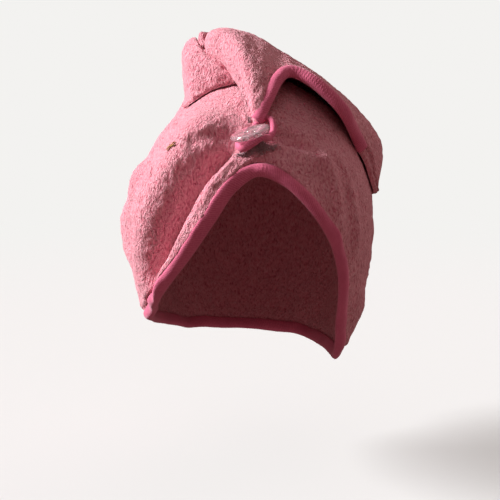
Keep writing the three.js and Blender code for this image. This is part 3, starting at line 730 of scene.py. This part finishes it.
def binding_material():
    """Smooth knitted strip with fine slanted ribs across it."""
    material, tree, shader = new_material("binding", 0.8, Sheen_Weight=0.4, Sheen_Roughness=0.45)
    shader.inputs["Sheen Tint"].default_value = (1.0, 0.7, 0.82, 1)
    shader.inputs["Specular IOR Level"].default_value = 0.25
    cloth = add(tree, "ShaderNodeTexCoord")
    ribs = add(tree, "ShaderNodeTexWave", Scale=0.24, Distortion=1.6, Detail=2.0, Detail_Scale=1.5)
    ribs.bands_direction = "X"
    slant = add(tree, "ShaderNodeMapping")
    slant.inputs["Rotation"].default_value = (0, 0, math.radians(24))
    tree.links.new(cloth.outputs["UV"], slant.inputs["Vector"])
    tree.links.new(slant.outputs["Vector"], ribs.inputs["Vector"])
    grain = add(tree, "ShaderNodeTexNoise", Scale=900.0, Detail=3.0)
    tree.links.new(cloth.outputs["Object"], grain.inputs["Vector"])
    patch = add(tree, "ShaderNodeTexNoise", Scale=70.0, Detail=2.0)
    tree.links.new(cloth.outputs["Object"], patch.inputs["Vector"])
    height = math_node(tree, "ADD", math_node(tree, "MULTIPLY", ribs.outputs["Fac"], 0.28),
                       math_node(tree, "MULTIPLY", grain.outputs["Fac"], 0.75))
    colour = ramp(tree, height, [(0.3, (0.64, 0.115, 0.225)), (0.75, (0.80, 0.195, 0.335))])
    tone = ramp(tree, patch.outputs["Fac"], [(0.3, (0.88, 0.84, 0.86)), (0.7, (1.0, 1.0, 1.0))])
    tree.links.new(mixed(tree, "MULTIPLY", 1.0, colour, tone), shader.inputs["Base Color"])
    bump = add(tree, "ShaderNodeBump", Strength=0.45, Distance=0.0005)
    tree.links.new(height, bump.inputs["Height"])
    tree.links.new(bump.outputs["Normal"], shader.inputs["Normal"])
    return material


def acrylic_material():
    """Clear polished plastic. Its base colour is tinted pink in soft patches as painted reflection of the
    pink cloth seen through it.
    """
    material, tree, shader = new_material("clear_plastic", 0.1, Transmission_Weight=0.85, IOR=1.49)
    pink_reflection_patches = add(tree, "ShaderNodeTexNoise", Scale=400.0, Detail=3.0)
    tree.links.new(add(tree, "ShaderNodeTexCoord").outputs["Object"], pink_reflection_patches.inputs["Vector"])
    # The pink tint is painted reflection of the cloth seen through the button.
    colour = ramp(tree, pink_reflection_patches.outputs["Fac"], [(0.3, (0.90, 0.66, 0.74)), (0.7, (0.97, 0.84, 0.88))])
    tree.links.new(colour, shader.inputs["Base Color"])
    return material


def thread_material(name, light, dark):
    material, tree, shader = new_material(name, 0.6)
    strands = add(tree, "ShaderNodeTexNoise", Scale=1500.0, Detail=3.0)
    tree.links.new(add(tree, "ShaderNodeTexCoord").outputs["Object"], strands.inputs["Vector"])
    colour = ramp(tree, strands.outputs["Fac"], [(0.35, dark), (0.65, light)])
    tree.links.new(colour, shader.inputs["Base Color"])
    bump = add(tree, "ShaderNodeBump", Strength=0.5, Distance=0.0003)
    tree.links.new(strands.outputs["Fac"], bump.inputs["Height"])
    tree.links.new(bump.outputs["Normal"], shader.inputs["Normal"])
    return material


# Bindings, loop, button and threads

def tube(name, path, radii, sides):
    """A closed tube with round ends along a row of points in millimetres."""
    path = np.asarray(path, float)
    along = unit(np.gradient(path, axis=0))
    lift = path - MIDDLE
    out = unit(lift - np.sum(lift * along, -1, keepdims=True) * along)
    across = np.cross(along, out)
    radii = np.asarray(radii, float) * np.ones(len(path))
    angle = np.linspace(0, 2 * np.pi, sides, endpoint=False)
    ring = np.cos(angle)[:, None] * out[:, None] + np.sin(angle)[:, None] * across[:, None]
    points = path[:, None] + ring * radii[:, None, None]
    total = len(path) * sides
    everything = np.concatenate([points.reshape(-1, 3), path[:1], path[-1:]])
    faces = list(grid_faces(len(path), sides, wraps=True))
    first = np.arange(sides)
    faces += [np.array([total, (k + 1) % sides, k]) for k in first]
    last = total - sides
    faces += [np.array([total + 1, last + k, last + (k + 1) % sides]) for k in first]
    length = np.concatenate([[0], np.cumsum(np.linalg.norm(np.diff(path, axis=0), axis=1))])
    uv = np.stack([np.repeat(length, sides), np.tile(angle * radii.mean(), len(path))], -1)
    uv = np.concatenate([uv, uv[:1], uv[-1:]])
    return mesh_object(name, everything, faces, uv)


# A folded strip's section: how far a point lies inside the edge, and its height over the middle of the
# cloth, from the stitched line on the terry side round the edge to the stitched line inside
STRIP = [
    (7.0, 0.9), (6.8, 1.9), (6.2, 2.6), (5.1, 3.1), (3.6, 3.4), (2.0, 3.3), (0.6, 2.8), (-0.5, 1.9),
    (-1.1, 0.8), (-1.2, -0.4), (-0.8, -1.7), (0.1, -2.6), (1.4, -3.0), (3.0, -3.1), (4.8, -2.9),
    (5.8, -2.5), (6.1, -1.8), (5.4, -1.6), (2.8, -1.6), (0.6, -1.2), (0.0, 0.0), (0.6, 1.3), (2.8, 1.6),
]


def strip(name, edge, out, normal, closed, lay=None):
    """A strip folded over an edge. edge lies at the middle of the cloth, and out points past it."""
    section = np.array(STRIP, float)
    count = len(edge)
    length = np.concatenate([[0], np.cumsum(np.linalg.norm(np.diff(edge, axis=0), axis=1))])
    back, rise = section[:, 0], section[:, 1]
    points = edge[:, None] - out[:, None] * back[None, :, None] + normal[:, None] * rise[None, :, None]
    if lay is not None:
        points = lay(points, back, rise)
    wave = 0.06 * np.sin(2 * np.pi * length / 1.9)[:, None] + 0.45 * noise(points, 13.0, 5.0)
    wave += 0.22 * noise(points, 5.0, 2.4)
    points = points + normal[:, None] * (wave * (rise > 1.5)[None])[..., None]
    sides = len(section)
    round_it = np.concatenate([[0], np.cumsum(np.linalg.norm(np.diff(section, axis=0), axis=1))])
    uv = np.stack(np.meshgrid(length, round_it, indexing="ij"), -1).reshape(-1, 2)
    if closed:
        grid = points.reshape(-1, 3)
        i, j = np.meshgrid(np.arange(count), np.arange(sides), indexing="ij")
        n, k = (i + 1) % count, (j + 1) % sides
        faces = np.stack([i * sides + j, i * sides + k, n * sides + k, n * sides + j], -1).reshape(-1, 4)
        return mesh_object(name, grid, faces, uv)
    faces = list(grid_faces(count, sides, wraps=True))
    faces.append(np.arange(sides)[::-1])
    faces.append(np.arange(sides) + (count - 1) * sides)
    return mesh_object(name, points.reshape(-1, 3), faces, uv)


def lay_on_hood(points, back, rise):
    """Keeps a strip's two faces on the hood's own curve. Only its fold reaches past the edge."""
    away = points - MIDDLE
    way = unit(away)
    on = at(way, hood_reach(way) - CLOTH / 2 + rise[None])
    return np.where((back > 0.1)[None, :, None], on, points)


def build_hood_binding():
    rim = unit(smooth_path(towards(*np.array(HEM, float).T), HEM_STATIONS, closed=True))
    edge = at(rim, hood_reach(rim) - CLOTH / 2)
    along = unit(np.roll(edge, -1, 0) - np.roll(edge, 1, 0))
    out = unit(np.cross(along, rim))
    normal = np.cross(out, along)
    return strip("hood_binding_strip", edge, out, normal, True, lay=lay_on_hood)


def build_tail_binding():
    """The strip round the slit's edge, from the tail's tip over the arch to the drape."""
    leans = np.linspace(*SLIT, SLIT_STATIONS)
    row = row_table(TAIL_FRONT, leans)
    way = over(row["front"], leans)
    edge = at(way, hood_reach(way) + DRAPE_GAP + CLOTH / 2 + row["front_lift"] * TAIL_HEIGHT)
    edge = smooth_path(smooth_path(edge, SLIT_BENDS), STRIP_STATIONS)
    along = unit(np.gradient(edge, axis=0))
    facing = unit(0.75 * np.array([0, -1.0, 0.15]) + 0.45 * unit(edge - MIDDLE))
    out = unit(np.cross(along, facing))
    normal = np.cross(out, along)
    return strip("tail_binding_strip", edge, out, normal, False)


def build_loop():
    lean, climb, lift = np.array(LOOP_PATH).T
    way = over(climb, lean)
    path = smooth_path(at(way, hood_reach(way) + lift), LOOP_STATIONS)
    share = np.linspace(0, 1, len(path))
    radii = LOOP_RADIUS + LOOP_BUNCH * swell(share, BUNCH_PLACE, BUNCH_SPREAD)
    return tube("loop_cloth", path, radii, sides=18)


def button_frame():
    """The button's middle, from where the frame has it, and its turn from BUTTON_TURN."""
    low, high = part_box("button")
    turn = Matrix.Rotation(math.radians(BUTTON_TURN[1]), 4, "Y")
    turn = Matrix.Rotation(math.radians(BUTTON_TURN[0]), 4, "X") @ turn
    return (low + high) / 2, turn


def build_button():
    """A turned clear button with a raised rim, a dished middle and four holes."""
    profile = [(0, 0.55), (5.6, 0.75), (8.2, 1.15), (9.4, 1.75), (10.6, 2.1), (11.8, 1.95), (12.7, 1.2),
               (BUTTON_RADIUS, 0.3), (12.8, -0.7), (11.9, -1.5), (10.2, -1.8), (5.0, -1.7), (0, -1.6)]
    sides = BUTTON_SIDES
    angle = np.linspace(0, 2 * np.pi, sides, endpoint=False)
    rings = np.array([[(r * math.cos(a), r * math.sin(a), z) for a in angle] for r, z in profile[1:-1]])
    points = np.concatenate([rings.reshape(-1, 3), [(0, 0, profile[0][1]), (0, 0, profile[-1][1])]])
    faces = list(grid_faces(len(rings), sides, wraps=True, flip=True))
    total = len(rings) * sides
    faces += [np.array([total, k, (k + 1) % sides]) for k in range(sides)]
    last = total - sides
    faces += [np.array([total + 1, last + (k + 1) % sides, last + k]) for k in range(sides)]
    body = mesh_object("clear_button", points, faces)
    cutters = []
    for k in range(4):
        a = math.pi / 4 + math.pi / 2 * k
        place = Vector((math.cos(a), math.sin(a), 0)) * HOLE_PLACE * MM
        bpy.ops.mesh.primitive_cylinder_add(
            vertices=HOLE_SIDES, radius=HOLE_RADIUS * MM, depth=HOLE_DEPTH * MM, location=place)
        cutters.append(bpy.context.object)
    for cutter in cutters:
        cut = body.modifiers.new("hole", "BOOLEAN")
        cut.operation = "DIFFERENCE"
        cut.object = cutter
        cut.solver = "EXACT"
    apply_modifiers(body)
    for cutter in cutters:
        bpy.data.objects.remove(cutter)
    middle, turn = button_frame()
    body.data.transform(Matrix.Translation(middle) @ turn)
    body.data.shade_smooth()
    return body


def apply_modifiers(body):
    """Puts a copy of the piece with its modifiers worked in where its mesh was."""
    graph = bpy.context.evaluated_depsgraph_get()
    mesh = bpy.data.meshes.new_from_object(body.evaluated_get(graph))
    body.modifiers.clear()
    body.data = mesh


def build_button_thread():
    """Thread wound round the stem between the hood and the button."""
    way = over(*BUTTON_SEAT)
    middle = np.array(button_frame()[0]) / MM
    low = at(way, hood_reach(way) + 0.6)
    high = middle - way * 3.4
    t = np.linspace(0, 1, THREAD_STATIONS)[:, None]
    side = unit(np.cross(way, [1.0, 0, 0]))
    other = np.cross(way, side)
    angle = 2 * np.pi * THREAD_TURNS * t
    path = low + (high - low) * t + THREAD_WIND * (np.cos(angle) * side + np.sin(angle) * other)
    return tube("button_thread_wound", path, THREAD_RADIUS, sides=6)


def build_tufts():
    """Pale tufts where the pile is gathered under the button: pale partly in their own colour and partly as
    painted light against the button's shadow.
    """
    draw = np.random.default_rng(SEED + 1)
    points, faces = [], []
    for middle, spread, count in TUFT_SPOTS:
        for _ in range(count):
            lean, climb = draw.normal(middle, spread)
            way = over(climb, lean)
            root = at(way, hood_reach(way) - 0.3)
            tip = root + way * draw.uniform(1.0, 3.0) + draw.normal(0, 0.9, 3)
            side = unit(np.cross(tip - root, draw.normal(0, 1, 3))) * draw.uniform(0.35, 0.7)
            other = unit(np.cross(tip - root, side)) * np.linalg.norm(side)
            start = len(points)
            points += [root + side, root - 0.5 * side + 0.87 * other, root - 0.5 * side - 0.87 * other, tip]
            faces += [np.array([start, start + 1, start + 3]), np.array([start + 1, start + 2, start + 3]),
                      np.array([start + 2, start, start + 3]), np.array([start, start + 2, start + 1])]
    return mesh_object("gather_tufts", points, faces, smooth=False)


def build_stray_thread():
    """A short tangle of brown thread caught in the pile at the upper left."""
    spot = towards(321.2, 57.2)
    right = unit(np.cross(CROWN, spot))
    up = np.cross(spot, right)
    strands = [
        [(-3.4, -2.6), (-1.8, -0.6), (-0.2, 0.4), (1.8, 0.6), (3.2, 2.0)],
        [(-2.8, -1.0), (-1.2, -0.9), (0.4, 1.0), (1.0, 2.6)],
        [(-1.6, 0.6), (-0.4, -0.4), (1.2, -0.2), (2.8, 0.4)],
        [(-2.4, -3.2), (-1.6, -1.8), (-1.4, -0.6), (-0.6, 0.8)],
    ]
    pieces = []
    for n, strand in enumerate(strands):
        flat = np.array([(x, y, 0) for x, y in strand], float)
        flat = smooth_path(flat, 24)
        way = unit(spot * 96 + flat[:, :1] * right + flat[:, 1:2] * up)
        lift = 0.9 + 0.4 * np.sin(np.linspace(0, 3 * np.pi, 24) + n)
        pieces.append(tube(f"stray_thread_{n}", at(way, hood_reach(way) + lift), 0.32, sides=7))
    return pieces


def joined(pieces, name):
    """Several objects as one."""
    bpy.ops.object.select_all(action="DESELECT")
    for piece in pieces:
        piece.select_set(True)
    bpy.context.view_layer.objects.active = pieces[0]
    bpy.ops.object.join()
    pieces[0].name = name
    return pieces[0]


# Stage, light and camera

FLOOR = -285.0
BACKDROP = (0.896, 0.888, 0.871)
FLOOR_LIT = (0.362, 0.370, 0.380)
FLOOR_SHARE = 0.535


def build_stage():
    """A pale floor that runs into a pale dome. Neither throws light back on the object."""
    floor_material, tree, shader = new_material("floor", 1.0)
    shader.inputs["Specular IOR Level"].default_value = 0
    shader.inputs["Emission Color"].default_value = (*BACKDROP, 1)
    far = add(tree, "ShaderNodeVectorMath", operation="LENGTH")
    tree.links.new(add(tree, "ShaderNodeTexCoord").outputs["Object"], far.inputs[0])
    near = add(tree, "ShaderNodeMapRange", interpolation_type="SMOOTHSTEP")
    near.inputs["From Min"].default_value = 0.45
    near.inputs["From Max"].default_value = 1.3
    near.inputs["To Min"].default_value = 1.0
    near.inputs["To Max"].default_value = 0.0
    tree.links.new(far.outputs["Value"], near.inputs["Value"])
    lit = near.outputs["Result"]
    tree.links.new(ramp(tree, lit, [(0.0, (0, 0, 0)), (1.0, FLOOR_LIT)]), shader.inputs["Base Color"])
    own = math_node(tree, "SUBTRACT", 1.0, math_node(tree, "MULTIPLY", lit, FLOOR_SHARE))
    tree.links.new(own, shader.inputs["Emission Strength"])
    bpy.ops.mesh.primitive_circle_add(vertices=96, radius=9, fill_type="NGON", location=(0, 0, FLOOR * MM))
    floor = bpy.context.object
    floor.name = "floor"
    floor.data.materials.append(floor_material)
    dome_material, tree, shader = new_material("dome", 1.0)
    shader.inputs["Specular IOR Level"].default_value = 0
    shader.inputs["Base Color"].default_value = (0, 0, 0, 1)
    shader.inputs["Emission Color"].default_value = (*BACKDROP, 1)
    shader.inputs["Emission Strength"].default_value = 1.0
    bpy.ops.mesh.primitive_uv_sphere_add(segments=64, ring_count=32, radius=9)
    dome = bpy.context.object
    dome.name = "dome"
    dome.data.materials.append(dome_material)
    for piece in (floor, dome):
        piece.visible_diffuse = False
        piece.visible_glossy = False
        piece.visible_transmission = False
        piece.visible_shadow = False


def sun(name, azimuth, elevation, strength, size, colour):
    """A soft light from an azimuth, counted from the camera's side to the right, and an elevation."""
    light = bpy.data.lights.new(name, "SUN")
    light.energy = strength
    light.angle = math.radians(size)
    light.color = colour
    a, e = math.radians(azimuth), math.radians(elevation)
    toward = Vector((math.sin(a) * math.cos(e), -math.cos(a) * math.cos(e), math.sin(e)))
    lamp = bpy.data.objects.new(name, light)
    lamp.rotation_mode = "QUATERNION"
    lamp.rotation_quaternion = toward.to_track_quat("Z", "Y")
    bpy.context.scene.collection.objects.link(lamp)


def build_lights():
    sun("key", -90, 29, 6.7, 18, (1.0, 0.985, 0.965))
    sun("top", -40, 74, 0.25, 60, (1.0, 0.98, 0.96))
    sun("rim", 122, 24, 0.55, 60, (1.0, 0.80, 0.74))
    world = bpy.data.worlds.new("surroundings")
    world.use_nodes = True
    shade = world.node_tree.nodes["Background"]
    shade.inputs["Color"].default_value = (1.0, 0.64, 0.56, 1)
    shade.inputs["Strength"].default_value = 0.21
    bpy.context.scene.world = world


def build_camera():
    """The photograph's view: ten degrees above the middle of the turban."""
    distance, elevation = 750.0, math.radians(10)
    target = Vector((-3.6, 0, -119.5)) * MM
    away = Vector((0, -math.cos(elevation), math.sin(elevation)))
    camera = bpy.data.objects.new("camera", bpy.data.cameras.new("camera"))
    camera.data.lens = 75
    camera.data.sensor_width = 36
    camera.location = target + away * distance * MM
    camera.rotation_mode = "QUATERNION"
    camera.rotation_quaternion = away.to_track_quat("Z", "Y")
    bpy.context.scene.collection.objects.link(camera)
    bpy.context.scene.camera = camera


def dress(piece, material, slot, *nodes):
    """Gives a piece its material, and sets it in the frame in place of the nodes."""
    piece.data.materials.clear()
    piece.data.materials.append(material)
    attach(piece, "root")
    if nodes:
        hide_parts(*nodes)
    return piece


build_camera()
build_stage()
build_lights()
bpy.context.scene.view_settings.view_transform = "Standard"

terry = terry_material()
binding = binding_material()

hood = dress(build_hood(), terry, "terry", "hood")
front_sheet = build_tail("tail_front_terry", TAIL_FRONT, 261, 170, 8, flat_swirl, open_front=True)
fold_sheet = build_tail("tail_fold_terry", TAIL_FOLD, 121, 80, 8, no_swirl)
back_sheet = build_tail("tail_back_terry", TAIL_BACK, 221, 190, 8, back_swirl)
dress(front_sheet, terry, "terry", "tail_front")
dress(fold_sheet, terry, "terry", "tail_fold")
dress(back_sheet, terry, "terry", "tail_back")
hood_strip = dress(build_hood_binding(), binding, "binding", "hood_binding")
tail_strip = dress(build_tail_binding(), binding, "binding", "tail_binding")
dress(build_loop(), binding, "binding", "loop")
dress(build_button(), acrylic_material(), "clear_plastic", "button")
pink_thread = thread_material("pink_thread", (0.78, 0.20, 0.34), (0.60, 0.10, 0.22))
dress(build_button_thread(), pink_thread, "thread", "button_thread")
# The tufts' material: paler terry, partly their own colour and partly painted light against the button's
# shadow, with painted shade in the pile's gaps.
dress(build_tufts(), terry_material("pale_and_painted_light_terry", TUFT_TIP_PAINTED_LIGHT, TUFT_MID_PAINTED_LIGHT, TUFT_GAP_PAINTED_SHADE_AND_LIGHT), "terry")
brown = thread_material("brown_thread", (0.62, 0.36, 0.12), (0.16, 0.06, 0.02))
dress(joined(build_stray_thread(), "stray_thread"), brown, "thread")
